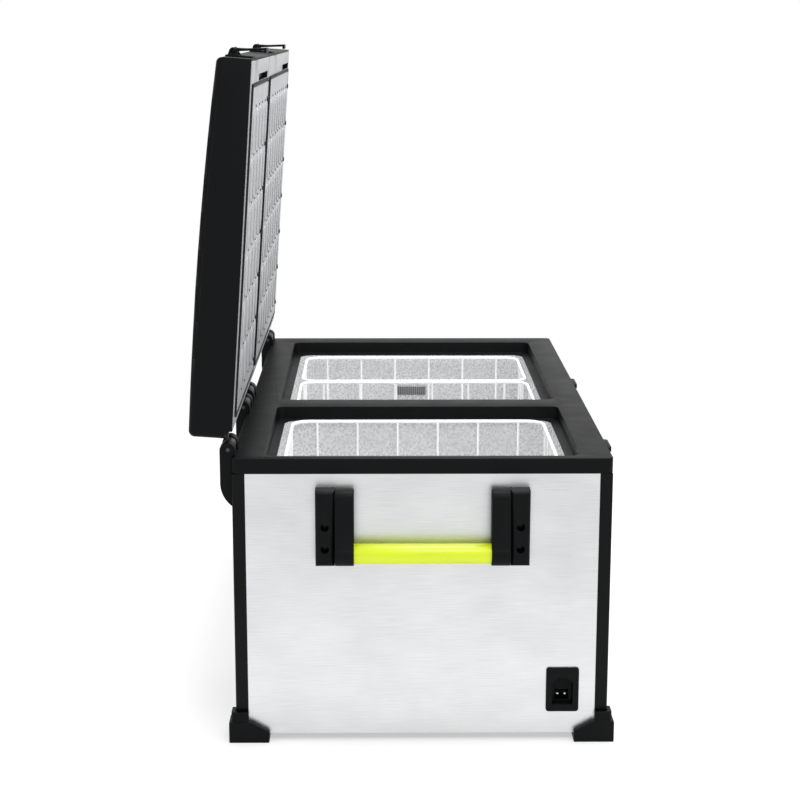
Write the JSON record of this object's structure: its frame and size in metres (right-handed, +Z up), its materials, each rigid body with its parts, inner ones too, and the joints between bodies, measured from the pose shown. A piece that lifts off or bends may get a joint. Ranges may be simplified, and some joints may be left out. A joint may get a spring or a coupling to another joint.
{
  "type": "compressor cooler fridge",
  "caption": "Long insulated chest fridge with a shallow and a deep compartment, hinged lids, wire baskets, carry handles, corner feet and a machine bay.",
  "frame": {"origin": "on the ground under the middle of the box that the part fills with its lids open; the middle of the chest is 23.08 mm further towards the latch side", "axes": "+X towards the latch side, +Y away from the power inlet end, +Z up"},
  "size_m": [0.5642, 0.964, 0.9174],
  "materials": {
    "black_moulding": "fine moulded texture",
    "post_black": "satin black coating",
    "steel_sheet": "brushed stainless sheet",
    "pan_sheet": "dark coated steel",
    "foam": "rigid foam",
    "liner_sheet": "pressed dimpled sheet",
    "evaporator_sheet": "mill finish",
    "white_wire": "white plastic dip",
    "hinge_metal": "cast, satin",
    "pin_steel": "turned",
    "lid_inner": "light grey moulding",
    "seal_rubber": "soft black seal",
    "lime_grip": "coloured grip",
    "screw_steel": "dark zinc",
    "contact_brass": "bright",
    "window_plastic": "tinted, polished",
    "board": "lacquered",
    "button_rubber": "soft touch",
    "light_lens": "dark moulding",
    "compressor_shell": "black enamel",
    "coil": "stacked fins",
    "fan_plastic": "moulded"
  },
  "bodies": {
    "cabinet": {"top_frame": "black_moulding", "corner_post_near_hinge": "post_black", "corner_post_near_latch": "post_black", "corner_post_far_hinge": "post_black", "corner_post_far_latch": "post_black", "end_panel_near": "steel_sheet", "end_panel_far": "steel_sheet", "side_panel_hinge": "steel_sheet", "side_panel_latch": "steel_sheet", "base_pan": "pan_sheet", "foam_insulation": "foam", "corner_foot_near_hinge": "black_moulding", "corner_foot_near_latch": "black_moulding", "corner_foot_far_hinge": "black_moulding", "corner_foot_far_latch": "black_moulding", "liner_near": "liner_sheet", "liner_far": "liner_sheet", "evaporators": "evaporator_sheet", "cabin_light": "light_lens", "hinge_brackets": "black_moulding", "hinge_pins": "pin_steel", "latch_keepers": "black_moulding", "handle_mounts_near": "black_moulding", "handle_mounts_far": "black_moulding", "handle_pins": "pin_steel", "handle_screws": "screw_steel", "power_inlet": "black_moulding", "inlet_pins": "contact_brass", "control_panel": "black_moulding", "display_window": "window_plastic", "control_board": "board", "vent_grilles": "black_moulding", "fan_frame": "fan_plastic", "condenser": "coil", "compressor": "compressor_shell"},
    "lid_near": {"lid_shell_near": "black_moulding", "lid_panel_near": "lid_inner", "lid_foam_near": "foam", "lid_gasket_near": "seal_rubber", "hinge_leaves_near": "hinge_metal", "latch_base_near": "black_moulding"},
    "lid_far": {"lid_shell_far": "black_moulding", "lid_panel_far": "lid_inner", "lid_foam_far": "foam", "lid_gasket_far": "seal_rubber", "hinge_leaves_far": "hinge_metal", "latch_base_far": "black_moulding"},
    "latch_near": {"latch_lever_near": "black_moulding"},
    "latch_far": {"latch_lever_far": "black_moulding"},
    "basket_near": {"basket_near": "white_wire"},
    "basket_middle": {"basket_middle": "white_wire"},
    "basket_far": {"basket_far": "white_wire"},
    "handle_near": {"handle_arms_near": "black_moulding", "handle_grip_near": "lime_grip"},
    "handle_far": {"handle_arms_far": "black_moulding", "handle_grip_far": "lime_grip"},
    "button_power": {"button_power": "button_rubber"},
    "button_minus": {"button_minus": "button_rubber"},
    "button_plus": {"button_plus": "button_rubber"},
    "fan": {"fan_rotor": "fan_plastic"}
  },
  "joints": [
    {"name": "lid_near_hinge", "type": "hinge", "parent": "cabinet", "child": "lid_near", "pos_m": [-0.23192, -0.2785, 0.401], "axis": [0, -1, 0], "range_deg": [-86, 0]},
    {"name": "lid_far_hinge", "type": "hinge", "parent": "cabinet", "child": "lid_far", "pos_m": [-0.23192, 0.1725, 0.401], "axis": [0, -1, 0], "range_deg": [-86, 0]},
    {"name": "latch_near_pull", "type": "hinge", "parent": "lid_near", "child": "latch_near", "pos_m": [-0.21926, -0.365, 0.91186], "axis": [0, -1, 0], "range_deg": [-6, 0]},
    {"name": "latch_far_pull", "type": "hinge", "parent": "lid_far", "child": "latch_far", "pos_m": [-0.21926, 0.055, 0.91186], "axis": [0, -1, 0], "range_deg": [-6, 0]},
    {"name": "basket_near_lift", "type": "slide", "parent": "cabinet", "child": "basket_near", "axis": [0, 0, 1], "range_m": [0, 0.21]},
    {"name": "basket_middle_lift", "type": "slide", "parent": "cabinet", "child": "basket_middle", "axis": [0, 0, 1], "range_m": [0, 0.34]},
    {"name": "basket_far_lift", "type": "slide", "parent": "cabinet", "child": "basket_far", "axis": [0, 0, 1], "range_m": [0, 0.34]},
    {"name": "handle_near_swing", "type": "hinge", "parent": "cabinet", "child": "handle_near", "pos_m": [0.02308, -0.4615, 0.342], "axis": [-1, 0, 0], "range_deg": [0, 90]},
    {"name": "handle_far_swing", "type": "hinge", "parent": "cabinet", "child": "handle_far", "pos_m": [0.02308, 0.4615, 0.342], "axis": [1, 0, 0], "range_deg": [0, 90]},
    {"name": "button_power_press", "type": "slide", "parent": "cabinet", "child": "button_power", "axis": [-1, 0, 0], "range_m": [0, 0.001], "stiffness_N_per_m": 400},
    {"name": "button_minus_press", "type": "slide", "parent": "cabinet", "child": "button_minus", "axis": [-1, 0, 0], "range_m": [0, 0.001], "stiffness_N_per_m": 400},
    {"name": "button_plus_press", "type": "slide", "parent": "cabinet", "child": "button_plus", "axis": [-1, 0, 0], "range_m": [0, 0.001], "stiffness_N_per_m": 400},
    {"name": "fan_spin", "type": "hinge", "parent": "cabinet", "child": "fan", "pos_m": [0.22308, -0.29, 0.0732], "axis": [1, 0, 0], "continuous": true}
  ]
}
